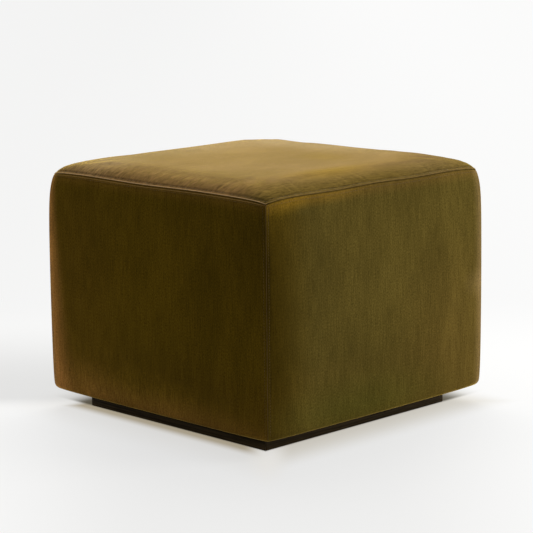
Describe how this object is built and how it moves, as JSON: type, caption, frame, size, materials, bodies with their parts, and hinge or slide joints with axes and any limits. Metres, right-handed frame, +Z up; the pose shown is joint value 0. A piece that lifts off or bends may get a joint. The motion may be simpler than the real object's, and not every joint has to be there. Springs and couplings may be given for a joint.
{
  "type": "cube pouf stool",
  "caption": "Firm velvet-covered cube pouf with a crowned top, topstitched seams and rounded foot, standing on a low set-back plinth; used as a stool or footrest.",
  "frame": {"origin": "on the floor, under the middle of the plinth", "axes": "+Z up; the front panel faces -Y and the right panel faces +X; +X runs along the slightly longer side"},
  "size_m": [0.514, 0.502, 0.4135],
  "materials": {
    "velvet": "olive-gold short-pile velvet with a fine upright rib, soft sheen at glancing angles",
    "blackened_wood": "matt black stained boards, faint long grain"
  },
  "bodies": {
    "root": {"pouf_body": "velvet", "plinth_front": "blackened_wood", "plinth_right": "blackened_wood", "plinth_back": "blackened_wood", "plinth_left": "blackened_wood"}
  },
  "joints": []
}
